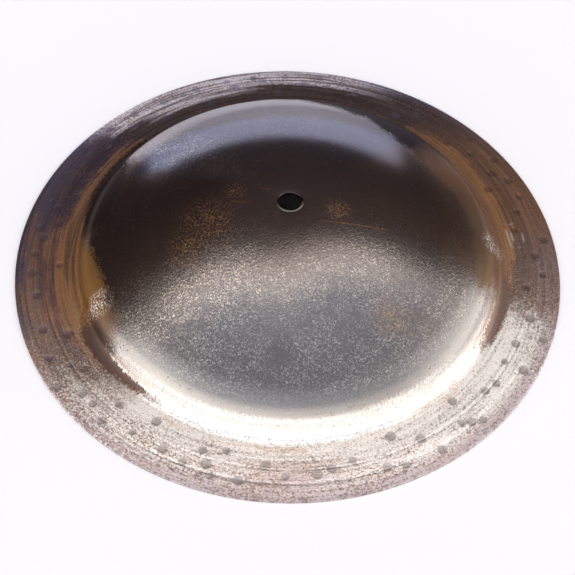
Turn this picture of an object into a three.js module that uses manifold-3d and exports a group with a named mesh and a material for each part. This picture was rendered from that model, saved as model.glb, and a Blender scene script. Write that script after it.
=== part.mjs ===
import * as THREE from 'three';
import { mergeVertices } from 'three/addons/utils/BufferGeometryUtils.js';
import Module from 'manifold-3d';

// Bell cymbal: a single casting of bell bronze with a deep bell and a narrow hammered flange.
// Millimetres, +Z up. The origin is the centre of the rim's underside, where the cymbal rests.

// Overall size of the casting
const rim_diameter = 304.8;
const crown_height = 50;
const bell_foot_diameter = 236;

// Metal thickness
const bell_thickness = 2.2;
const rim_thickness = 1.6;

// Mounting hole at the crown and the flat ring around it that the felt washers bear on
const hole_diameter = 12.7;
const hole_edge_round = 0.8;
const felt_seat_diameter = 26;

// Bell section: a shallow dome, a tight shoulder, a steep wall and a fillet at its foot
const shoulder_radius = 20;
const wall_tilt = THREE.MathUtils.degToRad(70);
const wall_length = 5;
const foot_fillet_radius = 7;

// Flange section: three zones that fall outwards from the bell to the rim
const edge_band_width = 5;
const edge_band_fall = 0.8;
const lathed_zone_width = 12.4;
const lathed_zone_fall = 1.2;
const inner_zone_fall = 0.9;

// Rim edge and the flat land under it
const rim_edge_round = 0.5;
const rim_land_width = 2.2;

// Turned grooves in the flange, placed as shares of the way from the bell's foot to the rim
const groove_width = 1.4;
const groove_depth = 0.18;
const turned_groove_shares = [0.52, 0.73];

// Hammer marks: shallow round dents in the flange
const mark_diameter = 5;
const mark_floor_diameter = 3;
const mark_depth = 0.28;
const mark_sides = 6;

// Each mark is placed by its share of a full turn, counted from the front towards +X,
// and its share of the way from the bell's foot to the rim
const outer_mark_shares = [
  [0.070, 0.77], [0.093, 0.79], [0.124, 0.78], [0.167, 0.77], [0.193, 0.86],
  [0.241, 0.71], [0.269, 0.83], [0.306, 0.74], [0.321, 0.73], [0.341, 0.80],
  [0.365, 0.74], [0.388, 0.72], [0.434, 0.78], [0.466, 0.78], [0.482, 0.81],
  [0.506, 0.81], [0.522, 0.73], [0.528, 0.80], [0.547, 0.81], [0.569, 0.81],
  [0.579, 0.75], [0.594, 0.76], [0.616, 0.82], [0.638, 0.81], [0.662, 0.76],
  [0.687, 0.79], [0.711, 0.74], [0.733, 0.72], [0.754, 0.71], [0.769, 0.72],
  [0.814, 0.68], [0.835, 0.76], [0.854, 0.88], [0.889, 0.75], [0.960, 0.76],
  [0.976, 0.74],
];
const middle_mark_shares = [
  [0.002, 0.61], [0.020, 0.59], [0.060, 0.69], [0.113, 0.62], [0.118, 0.69],
  [0.149, 0.55], [0.205, 0.58], [0.256, 0.62], [0.294, 0.56], [0.331, 0.55],
  [0.353, 0.52], [0.406, 0.60], [0.455, 0.57], [0.492, 0.63], [0.543, 0.62],
  [0.625, 0.57], [0.650, 0.55], [0.678, 0.58], [0.715, 0.57], [0.741, 0.61],
  [0.787, 0.66], [0.846, 0.53], [0.867, 0.65], [0.877, 0.65], [0.908, 0.61],
  [0.929, 0.62], [0.943, 0.68], [0.956, 0.60],
];
const inner_mark_shares = [
  [0.029, 0.54], [0.042, 0.46], [0.086, 0.49], [0.140, 0.50], [0.166, 0.47],
  [0.182, 0.49], [0.229, 0.45], [0.070, 0.27], [0.119, 0.27], [0.278, 0.38],
  [0.319, 0.30], [0.372, 0.36], [0.418, 0.34], [0.512, 0.37], [0.564, 0.33],
  [0.602, 0.38], [0.667, 0.35], [0.700, 0.33], [0.728, 0.42], [0.765, 0.29],
  [0.824, 0.34], [0.853, 0.40], [0.889, 0.40], [0.916, 0.29], [0.951, 0.41],
  [0.965, 0.33], [0.990, 0.45],
];

// Colour and finish of the bronze under its brown oxide skin
const bronze_colour = 0x6e5440;
const bronze_roughness = 0.42;

// Smoothness of the turned solid
const turn_segments = 72;
const dome_steps = 4;
const shoulder_steps = 4;
const fillet_steps = 4;
const edge_steps = 1;

// A cutter stands proud of the metal by this much, so that it opens the surface cleanly
const cut_overrun = 1;

const rim_radius = rim_diameter / 2;
const rim_round = Math.min(rim_edge_round, rim_thickness / 2);
const hole_radius = hole_diameter / 2;
const hole_round = Math.min(hole_edge_round, bell_thickness / 2);
const foot_radius = bell_foot_diameter / 2;
const band_radius = rim_radius - edge_band_width;
const lathed_radius = band_radius - lathed_zone_width;

const band_height = rim_thickness + edge_band_fall;
const lathed_height = band_height + lathed_zone_fall;
const foot_height = lathed_height + inner_zone_fall;

const band_tilt = Math.atan2(edge_band_fall, edge_band_width);
const lathed_tilt = Math.atan2(lathed_zone_fall, lathed_zone_width);
const inner_tilt = Math.atan2(inner_zone_fall, lathed_radius - foot_radius);

// A point of the outer surface: its radius, its height, and the tilt of the surface from level
function surfacePoint(radius, height, tilt) {
  return { radius, height, tilt };
}

// Points on an arc of the section, from one surface tilt to another.
// A negative radius bends the other way, as a fillet does.
function arc(centre, radius, start_tilt, end_tilt, steps) {
  const points = [];
  for (let step = 0; step <= steps; step += 1) {
    const tilt = THREE.MathUtils.lerp(start_tilt, end_tilt, step / steps);
    const across = centre.x + radius * Math.sin(tilt);
    const up = centre.y + radius * Math.cos(tilt);
    points.push(surfacePoint(across, up, tilt));
  }
  return points;
}

// Height and tilt of the flange's upper surface at a radius
function flangeAt(radius) {
  if (radius >= band_radius) {
    const height = rim_thickness + (rim_radius - radius) * Math.tan(band_tilt);
    return surfacePoint(radius, height, band_tilt);
  }
  if (radius >= lathed_radius) {
    const height = band_height + (band_radius - radius) * Math.tan(lathed_tilt);
    return surfacePoint(radius, height, lathed_tilt);
  }
  const height = lathed_height + (lathed_radius - radius) * Math.tan(inner_tilt);
  return surfacePoint(radius, height, inner_tilt);
}

function radiusAtShare(share) {
  return THREE.MathUtils.lerp(foot_radius, rim_radius, share);
}

// The flat felt seat, the dome and the shoulder, down to the top of the steep wall.
// The dome's radius follows from the crown height and from meeting the shoulder smoothly.
function bellSurface() {
  const shoulder_centre = new THREE.Vector2(
    foot_radius - wall_length * Math.cos(wall_tilt) - shoulder_radius * Math.sin(wall_tilt),
    foot_height + wall_length * Math.sin(wall_tilt) - shoulder_radius * Math.cos(wall_tilt),
  );
  const drop = crown_height - shoulder_centre.y;
  const spread = shoulder_centre.x ** 2 + drop ** 2 - shoulder_radius ** 2;
  const dome_radius = spread / (2 * (drop - shoulder_radius));
  const dome_centre = new THREE.Vector2(0, crown_height - dome_radius);
  const meeting_tilt = Math.atan2(shoulder_centre.x, shoulder_centre.y - dome_centre.y);
  const seat_tilt = Math.asin(felt_seat_diameter / 2 / dome_radius);
  const dome = arc(dome_centre, dome_radius, seat_tilt, meeting_tilt, dome_steps);
  const shoulder = arc(shoulder_centre, shoulder_radius, meeting_tilt, wall_tilt, shoulder_steps);
  const seat_height = dome[0].height;
  const seat_inner_edge = surfacePoint(hole_radius + hole_round, seat_height, 0);
  const seat_outer_edge = surfacePoint(felt_seat_diameter / 2, seat_height, 0);
  return [seat_inner_edge, seat_outer_edge, ...dome.slice(1), ...shoulder.slice(1)];
}

// The hollow fillet where the steep wall runs out into the flange. It takes up no more than the wall.
function footFillet() {
  const half_bend = (wall_tilt - inner_tilt) / 2;
  const radius = Math.min(foot_fillet_radius, wall_length / Math.tan(half_bend));
  const tangent_length = radius * Math.tan(half_bend);
  const centre = new THREE.Vector2(
    foot_radius - tangent_length * Math.cos(wall_tilt) + radius * Math.sin(wall_tilt),
    foot_height + tangent_length * Math.sin(wall_tilt) + radius * Math.cos(wall_tilt),
  );
  return arc(centre, -radius, wall_tilt, inner_tilt, fillet_steps);
}

// The three zones of the flange out to the start of the rounded rim edge
function flangeSurface() {
  return [
    surfacePoint(lathed_radius, lathed_height, (inner_tilt + lathed_tilt) / 2),
    surfacePoint(band_radius, band_height, (lathed_tilt + band_tilt) / 2),
  ];
}

// Grooves are cut into the upper surface only
function withGrooves(surface) {
  const grooved = [...surface];
  for (const share of turned_groove_shares) {
    const centre_radius = radiusAtShare(share);
    const inner = flangeAt(centre_radius - groove_width / 2);
    const outer = flangeAt(centre_radius + groove_width / 2);
    const bottom = flangeAt(centre_radius);
    grooved.push(inner, surfacePoint(bottom.radius, bottom.height - groove_depth, bottom.tilt), outer);
  }
  return grooved.sort((one, other) => one.radius - other.radius);
}

// The underside lies one metal thickness below the upper surface, square to it
function underside(surface) {
  return surface.map((point) => {
    const outward_share = (point.radius - foot_radius) / (rim_radius - foot_radius);
    const thinned_share = THREE.MathUtils.clamp(outward_share, 0, 1);
    const thickness = THREE.MathUtils.lerp(bell_thickness, rim_thickness, thinned_share);
    return new THREE.Vector2(
      point.radius - thickness * Math.sin(point.tilt),
      point.height - thickness * Math.cos(point.tilt),
    );
  });
}

// A quarter circle of the section, swept clockwise from its start angle
function quarterRound(centre_radius, centre_height, radius, start_angle) {
  const points = [];
  for (let step = 0; step <= edge_steps; step += 1) {
    const angle = start_angle - (Math.PI / 2) * (step / edge_steps);
    const across = centre_radius + radius * Math.cos(angle);
    const up = centre_height + radius * Math.sin(angle);
    points.push(new THREE.Vector2(across, up));
  }
  return points;
}

// The closed section of the casting: over the top, round the rim, back underneath and up the hole
function castingSection() {
  const bell = bellSurface();
  const plain_flange = flangeSurface();
  const upper = [...bell, ...footFillet(), ...withGrooves(plain_flange)];
  const lower = underside([...bell, ...footFillet(), ...plain_flange]).reverse();
  const land_inner_edge = new THREE.Vector2(rim_radius - rim_land_width, 0);

  const rim_centre = rim_radius - rim_round;
  const rim_top = quarterRound(rim_centre, rim_thickness - rim_round, rim_round, Math.PI / 2);
  const rim_bottom = quarterRound(rim_centre, rim_round, rim_round, 0);

  const hole_centre = hole_radius + hole_round;
  const seat_top = bell[0].height;
  const seat_underside = seat_top - bell_thickness;
  const hole_bottom = quarterRound(hole_centre, seat_underside + hole_round, hole_round, -Math.PI / 2);
  const hole_top = quarterRound(hole_centre, seat_top - hole_round, hole_round, Math.PI);

  return [
    ...upper.map((point) => new THREE.Vector2(point.radius, point.height)),
    ...rim_top,
    ...rim_bottom,
    land_inner_edge,
    ...lower.slice(0, -1),
    ...hole_bottom,
    ...hole_top.slice(0, -1),
  ];
}

// A geometry turned about +Z. Its section runs clockwise, from the axis side over the top.
function turned(section, segments) {
  const geometry = new THREE.LatheGeometry([...section].reverse(), segments);
  return geometry.rotateX(Math.PI / 2);
}

const wasm = await Module();
wasm.setup();

// A geometry's triangles as a solid, with shared corners merged and collapsed triangles left out
function solidOf(geometry) {
  const bare = geometry.clone();
  bare.deleteAttribute('normal');
  bare.deleteAttribute('uv');
  const merged = mergeVertices(bare);
  const corners = merged.index.array;
  const kept = [];
  for (let first = 0; first < corners.length; first += 3) {
    const [a, b, c] = corners.slice(first, first + 3);
    if (a !== b && b !== c && c !== a) {
      kept.push(a, b, c);
    }
  }
  const vertProperties = new Float32Array(merged.attributes.position.array);
  const triVerts = new Uint32Array(kept);
  return new wasm.Manifold(new wasm.Mesh({ numProp: 3, vertProperties, triVerts }));
}

function geometryOf(solid) {
  const mesh = solid.getMesh();
  const geometry = new THREE.BufferGeometry();
  geometry.setAttribute('position', new THREE.BufferAttribute(mesh.vertProperties, 3));
  geometry.setIndex(new THREE.BufferAttribute(mesh.triVerts, 1));
  geometry.computeVertexNormals();
  return geometry;
}

// One hammer mark's cutter: a shallow dish with a flat floor, standing square to the flange
function markCutter(turn_share, flange_share) {
  const rim = mark_diameter / 2;
  const floor = mark_floor_diameter / 2;
  const dish = turned(
    [
      new THREE.Vector2(0, cut_overrun),
      new THREE.Vector2(rim, cut_overrun),
      new THREE.Vector2(rim, 0),
      new THREE.Vector2(floor, -mark_depth),
      new THREE.Vector2(0, -mark_depth),
    ],
    mark_sides,
  );
  const surface = flangeAt(radiusAtShare(flange_share));
  dish.rotateX(surface.tilt);
  dish.translate(0, -surface.radius, surface.height);
  dish.rotateZ(turn_share * 2 * Math.PI);
  return dish;
}

function bellCymbal() {
  const section = castingSection();
  let casting = solidOf(turned([...section, section[0]], turn_segments));
  const mark_shares = [...outer_mark_shares, ...middle_mark_shares, ...inner_mark_shares];
  for (const [turn_share, flange_share] of mark_shares) {
    casting = casting.subtract(solidOf(markCutter(turn_share, flange_share)));
  }
  const bell_bronze = new THREE.MeshStandardMaterial({
    color: bronze_colour,
    roughness: bronze_roughness,
    metalness: 1,
  });
  const mesh = new THREE.Mesh(geometryOf(casting), bell_bronze);
  mesh.name = 'bell_cymbal';
  return mesh;
}

const cymbal = new THREE.Group();
cymbal.add(bellCymbal());

export default cymbal;
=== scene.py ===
"""Bell cymbal: the look of the finished bronze casting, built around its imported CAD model."""

import math
from types import SimpleNamespace

import bpy
from bpy.props import FloatProperty, FloatVectorProperty, IntProperty, PointerProperty
from mathutils import Matrix, Vector
from mathutils.kdtree import KDTree


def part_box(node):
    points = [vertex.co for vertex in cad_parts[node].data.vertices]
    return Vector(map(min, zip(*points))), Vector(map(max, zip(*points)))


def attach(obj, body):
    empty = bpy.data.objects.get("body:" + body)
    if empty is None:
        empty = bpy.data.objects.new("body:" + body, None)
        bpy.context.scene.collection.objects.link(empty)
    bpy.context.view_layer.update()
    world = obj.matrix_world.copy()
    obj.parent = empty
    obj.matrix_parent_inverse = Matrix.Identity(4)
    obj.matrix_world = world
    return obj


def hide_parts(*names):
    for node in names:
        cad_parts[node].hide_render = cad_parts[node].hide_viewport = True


bl_info = {
    "name": "Bell cymbal",
    "version": (1, 0, 0),
    "blender": (4, 5, 0),
    "location": "3D View > Sidebar > Cymbal",
    "description": "Models a cast bronze bell cymbal and the studio it lies in",
    "category": "Add Mesh",
}

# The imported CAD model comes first, so that its sizes can be the defaults below
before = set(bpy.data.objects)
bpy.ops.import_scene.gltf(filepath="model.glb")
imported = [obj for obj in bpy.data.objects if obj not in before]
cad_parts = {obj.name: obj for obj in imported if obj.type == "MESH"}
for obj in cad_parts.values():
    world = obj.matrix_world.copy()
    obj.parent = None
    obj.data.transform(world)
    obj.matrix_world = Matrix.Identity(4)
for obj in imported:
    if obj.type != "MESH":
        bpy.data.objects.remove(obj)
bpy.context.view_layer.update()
CAD_NODE = "bell_cymbal"
CAD_LOW, CAD_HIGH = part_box(CAD_NODE)

MM = 0.001
FULL_TURN = 2 * math.pi

# The longest steps along the section: in the bell, in the bends and on the flange
TOP_GAPS = (4.6 * MM, 1.1 * MM, 0.7 * MM)
UNDER_GAPS = (9 * MM, 2.4 * MM, 5 * MM)
MERGE_DISTANCE = MM / 1000
SMOOTH_ANGLE = math.radians(40)

# Hammer marks: the flat share of their reach, and how their size varies, in steps that don't repeat
MARK_FLAT = 0.45
MARK_SMALLEST, MARK_VARIES, MARK_STEP = 0.8, 0.4, 0.618
MARK_ATTRIBUTE = "hammer_mark"

# Sizes of the metal's patterns: across, or as length and width where they are drawn out along the
# turn. In the photograph the grain, sand and pits look about a pixel wide, half a millimetre, and
# the real ones may be finer. They are drawn coarser so that they show
GRAIN_SIZE, WRINKLE_SIZE = 1.1 * MM, 1.35 * MM
PIT_SIZE = (1.5 * MM, 1.1 * MM)
SAND_SIZE = (1.3 * MM, 0.9 * MM)
RING_SIZE = (60 * MM, 1.6 * MM)
PATCH_SIZE = (20 * MM, 8 * MM)
GRAIN_DEPTH, RING_DEPTH = 0.1 * MM, 0.12 * MM

# Borders that run outwards swerve: size, detail, and reach as a share of a turn
BORDER_SWERVES = [(7 * MM, 4, 0.012), (1.3 * MM, 1, 0.014)]

# How far borders round the cymbal are frayed, and how far the border of the shoulder's zone swerves
BORDER_FRAY, SHOULDER_ZONE_FRAY, SHOULDER_ZONE_SWERVE = 2 * MM, 4 * MM, 12 * MM

# The radii between which a layer of the finish comes in or thins out
WORN_AND_GLINTS_REACH = (20 * MM, 48 * MM)
PIT_REACH = (96 * MM, 150 * MM)
RUBBED_REACH = (99 * MM, 111 * MM)
RING_REACH = (116 * MM, 122 * MM)
SAND_REACH = (118 * MM, 142 * MM)
GOLD_THINNING = (125 * MM, 132 * MM)

# How a layer comes in past a border that has its own radius by turn, how far inside the edge band
# its finish begins, and where along Y the grain fades towards the back
SHOULDER_ZONE_BLEND = (3.5 * MM, 9 * MM)
INNER_BLEND = (-2 * MM, 1.5 * MM)
BAND_LEAD = 1.5 * MM
GRAIN_FADE = (25 * MM, -45 * MM)

# Scratches and white strokes: half their width, and the length in which they run out
SCRATCH_WIDTH, STROKE_WIDTH, SCRATCH_END = 0.5 * MM, 0.9 * MM, 3 * MM

# Strengths and roughnesses of single layers
PATCH_STRENGTH, DULL_STRENGTH, GOLD_STRENGTH, PIT_STRENGTH = 1.6, 0.28, 0.86, 0.6
COPPER_ROUGHNESS, PIT_ROUGHNESS, FLOOR_ROUGHNESS = 0.42, 0.5, 0.9

# Sockets of the mix node, which share their names: the share, two values and two colours
SHARE, UNDER_VALUE, OVER_VALUE, UNDER_COLOUR, OVER_COLOUR = 0, 2, 3, 6, 7

# Hammer marks in the flange, each placed by its share of a full turn, counted from the front
# towards +X, and its share of the way from the bell's foot to the rim
OUTER_MARK_SHARES = [
    (0.070, 0.77), (0.093, 0.79), (0.124, 0.78), (0.167, 0.77), (0.193, 0.86), (0.241, 0.71),
    (0.269, 0.83), (0.306, 0.74), (0.321, 0.73), (0.341, 0.80), (0.365, 0.74), (0.388, 0.72),
    (0.434, 0.78), (0.466, 0.78), (0.482, 0.81), (0.506, 0.81), (0.522, 0.73), (0.528, 0.80),
    (0.547, 0.81), (0.569, 0.81), (0.579, 0.75), (0.594, 0.76), (0.616, 0.82), (0.638, 0.81),
    (0.662, 0.76), (0.687, 0.79), (0.711, 0.74), (0.733, 0.72), (0.754, 0.71), (0.769, 0.72),
    (0.814, 0.68), (0.835, 0.76), (0.854, 0.88), (0.889, 0.75), (0.960, 0.76), (0.976, 0.74),
]
MIDDLE_MARK_SHARES = [
    (0.002, 0.61), (0.020, 0.59), (0.060, 0.69), (0.113, 0.62), (0.118, 0.69), (0.149, 0.55),
    (0.205, 0.58), (0.256, 0.62), (0.294, 0.56), (0.331, 0.55), (0.353, 0.52), (0.406, 0.60),
    (0.455, 0.57), (0.492, 0.63), (0.543, 0.62), (0.625, 0.57), (0.650, 0.55), (0.678, 0.58),
    (0.715, 0.57), (0.741, 0.61), (0.787, 0.66), (0.846, 0.53), (0.867, 0.65), (0.877, 0.65),
    (0.908, 0.61), (0.929, 0.62), (0.943, 0.68), (0.956, 0.60),
]
INNER_MARK_SHARES = [
    (0.029, 0.54), (0.042, 0.46), (0.086, 0.49), (0.140, 0.50), (0.166, 0.47), (0.182, 0.49),
    (0.229, 0.45), (0.070, 0.27), (0.119, 0.27), (0.278, 0.38), (0.319, 0.30), (0.372, 0.36),
    (0.418, 0.34), (0.512, 0.37), (0.564, 0.33), (0.602, 0.38), (0.667, 0.35), (0.700, 0.33),
    (0.728, 0.42), (0.765, 0.29), (0.824, 0.34), (0.853, 0.40), (0.889, 0.40), (0.916, 0.29),
    (0.951, 0.41), (0.965, 0.33), (0.990, 0.45),
]

# The studio's light by elevation in degrees. A ramp holds no value above 1, so the light is scaled
# by the brightest
BRIGHTEST = 4
LOWEST_LIGHT, HIGHEST_LIGHT = -30, 90
FRONT_LIGHT = [
    (-30, (2.2, 2.1, 2.05)), (12, (2.2, 2.1, 2.05)), (36, (1.8, 1.76, 1.76)),
    (50, (1.08, 1.1, 1.2)), (66, (0.87, 0.92, 1.08)), (80, (0.87, 0.95, 1.12)),
    (90, (1.28, 1.34, 1.47)),
]
FAR_LIGHT = [
    (-30, (0.115, 0.09, 0.096)), (35, (0.115, 0.09, 0.096)), (50, (0.18, 0.138, 0.14)),
    (62, (0.18, 0.138, 0.14)), (69, (0.36, 0.32, 0.32)), (77, (2.4, 2.2, 2.1)),
    (83, (3.2, 2.95, 2.8)), (90, (1.28, 1.34, 1.47)),
]
SWEEP_LIGHT = (1.02, 1.09, 1.47)

# The far side, in degrees: how far it is turned, how much lower its dark part ends by the square of
# the turn away from it, and between which turns the open front takes over
FAR_SIDE_TURN, FAR_SIDE_LIFT, FAR_SIDE_BORDER = 12, 0.0052, (71, 82)

# The pale sweep behind the cymbal, in degrees: its turn, how much it widens with height, its
# borders at the sides and at the top
SWEEP_TURN, SWEEP_LEAN, SWEEP_SIDES, SWEEP_TOP = 4, -0.37, (25, 21), (18, 13)

# Turned grooves, as shares of the way from the bell's foot to the rim
TURNED_GROOVE_SHARES = (0.52, 0.73)

# The finish by turn, in degrees from the front towards +X: a colour of the finish and its roughness
# The violet, mauve and plum tones paint blue light mirrored at the back and sides. The amounts by turn
# further down are set in the same way.
# These colours are partly the metal's tarnish and partly painted reflection: each sector's colour is set
# so that the light and dark the front view mirrors there come out.
HOLE_EDGE_FINISH = [
    (0, "worn_grain_and_glints", 0.7), (55, "worn_grain_and_glints", 0.7), (95, "violet_painted_dark_reflection", 0.25),
    (265, "violet_painted_dark_reflection", 0.25), (305, "brown_gold", 0.5), (335, "worn_grain_and_glints", 0.7),
]
CROWN_FINISH = [(0, "crown_skin", 0.17)]
BELL_FINISH = [
    (0, "slate_skin", 0.17), (70, "slate_skin", 0.17), (84, "umber_skin", 0.17),
    (130, "umber_skin", 0.15), (137, "glassy_skin", 0.11), (243, "glassy_skin", 0.11),
    (249, "dark_skin", 0.18), (295, "dark_skin", 0.2), (308, "slate_skin", 0.17),
]
CREST_FINISH = [
    (0, "dull_slate", 0.19), (70, "dull_slate", 0.19), (82, "haze_skin", 0.25),
    (118, "haze_skin", 0.25), (132, "umber_skin", 0.15), (138, "crest_skin", 0.11),
    (243, "crest_skin", 0.11), (249, "dark_skin", 0.18), (295, "dark_skin", 0.2),
    (308, "dull_slate", 0.19),
]
# From 163 to 236 degrees the crest's outer edge is painted pale: a painted highlight along the back of
# the bell
EDGE_FINISH = [
    (0, "dull_slate", 0.2), (70, "dull_slate", 0.2), (82, "haze_skin", 0.3),
    (118, "haze_skin", 0.3), (132, "umber_skin", 0.2), (145, "crest_skin", 0.14),
    (163, "pale_crest_highlight", 0.16), (215, "pale_crest_highlight", 0.16), (228, "ash_crest_highlight", 0.2),
    (236, "ash_crest_highlight", 0.22), (243, "dark_skin", 0.18), (295, "dark_skin", 0.2),
    (308, "dull_slate", 0.2),
]
# From 134 to 269 degrees the shoulder's near-black colours are painted dark reflection, and so is the
# same colour at the back of the hole's edge and the foot
SHOULDER_FINISH = [
    (0, "dull_slate", 0.2), (68, "dull_slate", 0.2), (78, "golden_haze", 0.4),
    (98, "golden_haze", 0.4), (108, "warm_oxide", 0.4), (122, "warm_oxide", 0.38),
    (134, "violet_painted_dark_reflection", 0.3), (238, "violet_painted_dark_reflection", 0.3), (247, "brown_painted_dark_reflection", 0.3),
    (269, "brown_painted_dark_reflection", 0.3), (276, "old_gold", 0.5), (294, "old_gold", 0.5),
    (309, "dull_slate", 0.2),
]
FOOT_FINISH = [
    (0, "bare_bronze", 0.28), (74, "bare_bronze", 0.28), (80, "brown_gold", 0.42),
    (125, "brown_gold", 0.45), (140, "brown_painted_dark_reflection", 0.35), (264, "brown_painted_dark_reflection", 0.35),
    (271, "old_gold", 0.5), (292, "old_gold", 0.5), (299, "foot_oxide", 0.4),
    (306, "foot_oxide", 0.4), (311, "bare_bronze", 0.28),
]
HOLLOW_FINISH = [
    (0, "bare_bronze", 0.28), (55, "bare_bronze", 0.28), (64, "umber_tarnish", 0.36),
    (77, "umber_tarnish", 0.38), (90, "brown_gold", 0.42), (125, "brown_gold", 0.45),
    (140, "brown_painted_dark_reflection", 0.35), (256, "brown_painted_dark_reflection", 0.35), (264, "old_gold", 0.5),
    (292, "old_gold", 0.5), (299, "foot_oxide", 0.4), (322, "foot_oxide", 0.4),
    (331, "bare_bronze", 0.28),
]
INNER_FINISH = [
    (0, "bare_bronze", 0.41), (30, "bare_bronze", 0.53), (60, "bare_bronze", 0.6),
    (71, "bare_bronze", 0.56), (78, "umber_tarnish", 0.36), (94, "umber_tarnish", 0.36),
    (104, "brown_gold", 0.35), (136, "brown_gold", 0.35), (146, "dull_bronze", 0.3),
    (222, "dull_bronze", 0.3), (232, "violet_tarnish", 0.34), (256, "violet_tarnish", 0.34),
    (268, "plum_tarnish", 0.33), (297, "plum_tarnish", 0.33), (302, "umber_tarnish", 0.33),
    (310, "umber_tarnish", 0.36), (324, "bare_bronze", 0.54),
]
MIDDLE_FINISH = [
    (0, "sandy_bronze", 0.365), (20, "bare_bronze", 0.47), (30, "bare_bronze", 0.5),
    (60, "bare_bronze", 0.59), (71, "bare_bronze", 0.55), (78, "umber_tarnish", 0.36),
    (94, "umber_tarnish", 0.35), (104, "brown_gold", 0.34), (128, "brown_gold", 0.33),
    (146, "dull_bronze", 0.28), (188, "dull_bronze", 0.3), (194, "pale_bronze", 0.5),
    (215, "pale_bronze", 0.5), (224, "dull_bronze", 0.3), (232, "violet_tarnish", 0.3),
    (256, "violet_tarnish", 0.32), (268, "plum_tarnish", 0.33), (297, "plum_tarnish", 0.35),
    (302, "umber_tarnish", 0.34), (308, "umber_tarnish", 0.36), (320, "bare_bronze", 0.51),
    (345, "bare_bronze", 0.47),
]
OUTER_FINISH = [
    (0, "rubbed_bronze", 0.29), (28, "bare_bronze", 0.36), (60, "bare_bronze", 0.5),
    (71, "bare_bronze", 0.5), (78, "mauve_bronze", 0.36), (92, "mauve_bronze", 0.36),
    (102, "dusky_gold", 0.35), (126, "dusky_gold", 0.33), (142, "dull_bronze", 0.25),
    (152, "dull_bronze", 0.26), (168, "pale_bronze", 0.58), (226, "pale_bronze", 0.64),
    (233, "violet_grey", 0.28), (258, "violet_grey", 0.28), (270, "mauve_bronze", 0.31),
    (285, "mauve_bronze", 0.36), (299, "mauve_bronze", 0.33), (304, "umber_tarnish", 0.36),
    (312, "bare_bronze", 0.42), (335, "bare_bronze", 0.36),
]
BAND_FINISH = [
    (0, "rubbed_bronze", 0.35), (30, "rubbed_bronze", 0.38), (71, "rubbed_bronze", 0.43),
    (79, "mauve_bronze", 0.37), (94, "mauve_bronze", 0.36), (104, "dusky_gold", 0.33),
    (122, "dusky_gold", 0.31), (132, "mauve_bronze", 0.3), (150, "violet_grey", 0.27),
    (166, "pale_bronze", 0.6), (228, "pale_bronze", 0.68), (236, "violet_grey", 0.35),
    (275, "violet_grey", 0.3), (299, "mauve_bronze", 0.35), (312, "rubbed_bronze", 0.38),
]

# Zones of the bell outwards: finish, the radii between which it comes in, and how
BELL_ZONES = [
    (CROWN_FINISH, (7.1 * MM, 7.7 * MM), "LINEAR"), (BELL_FINISH, (18 * MM, 52 * MM), "SMOOTHSTEP"),
    (CREST_FINISH, (74 * MM, 94 * MM), "SMOOTHSTEP"),
    (EDGE_FINISH, (93 * MM, 103 * MM), "SMOOTHSTEP"),
]

# Zones of the flange outwards: finish, radius where it begins or the name of a border, width of the
# blend, and how far the border is frayed
FLANGE_ZONES = [
    (FOOT_FINISH, 114.3 * MM, 4.4 * MM, 0.9 * MM), (HOLLOW_FINISH, 117.4 * MM, 1.2 * MM, 0.8 * MM),
    (INNER_FINISH, "flange_start", 2 * MM, 1.5 * MM),
    (MIDDLE_FINISH, 131.8 * MM, 1.5 * MM, 1.5 * MM), (OUTER_FINISH, 138.5 * MM, 2.5 * MM, 2 * MM),
    (BAND_FINISH, "band_start", 6 * MM, 2 * MM),
]

# The finish in the hammer marks, by turn in degrees: partly dull metal, partly painted reflection, the
# grey that a dent mirrors
MARK_FINISH = [
    (0, "dull_mark_and_reflection", 0.34), (30, "dull_mark_and_reflection", 0.37), (74, "dull_mark_and_reflection", 0.4),
    (80, "mark_oxide", 0.36), (136, "mark_oxide", 0.35), (148, "violet_grey", 0.35),
    (226, "violet_grey", 0.35), (238, "violet_tarnish", 0.35), (300, "violet_tarnish", 0.35),
    (314, "dull_mark_and_reflection", 0.38),
]
MARKED_AND_REFLECTION_BY_TURN = [
    (0, 0.75), (74, 0.75), (82, 0.5), (136, 0.45), (148, 0.4), (226, 0.4), (238, 0.45), (306, 0.5),
    (314, 0.75),
]

# How far the shoulder and its sides are rubbed bare, by turn in degrees
RUBBED_BY_TURN = [
    (0, 0.2), (30, 0.1), (50, 0.24), (70, 0.28), (76, 0), (304, 0), (312, 0.25), (325, 0.36),
    (340, 0.26),
]

# How far the high grains of the bell are worn bright, by turn in degrees. It is partly wear and partly
# painted glints, raised where the front view shows sparkle
WORN_AND_GLINTS_BY_TURN = [
    (0, 0.7), (70, 0.7), (82, 0.15), (135, 0.06), (160, 0.2), (215, 0.3), (228, 0.9), (238, 0.9),
    (248, 0.04), (292, 0.12), (302, 0.6), (310, 1.2), (332, 1.2), (348, 0.7),
]

# How golden the inner flange is, by turn in degrees
GOLDEN_BY_TURN = [
    (0, 0), (73, 0), (78, 0.3), (90, 0.5), (100, 0.9), (128, 0.9), (138, 0.7), (148, 0), (222, 0),
    (228, 0.55), (246, 0.6), (260, 0.8), (270, 0.95), (284, 1), (296, 0.95), (303, 0.5), (312, 0),
]

# How thick light specks lie on the tarnish, by turn in degrees
SPECKS_BY_TURN = [
    (0, 0), (52, 0), (60, 0.6), (76, 0.45), (94, 0.12), (106, 0), (288, 0), (299, 0.3), (306, 0.55),
    (324, 0.65), (332, 0),
]

# How thick the brown sand lies on the turned metal, by turn in degrees. It is thinned from 34 to 68
# degrees to paint the brighter sheen there
SAND_THINNED_FOR_SHEEN_BY_TURN = [(0, 1), (18, 1), (34, 0.72), (52, 0.45), (68, 0.45), (78, 1)]

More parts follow.
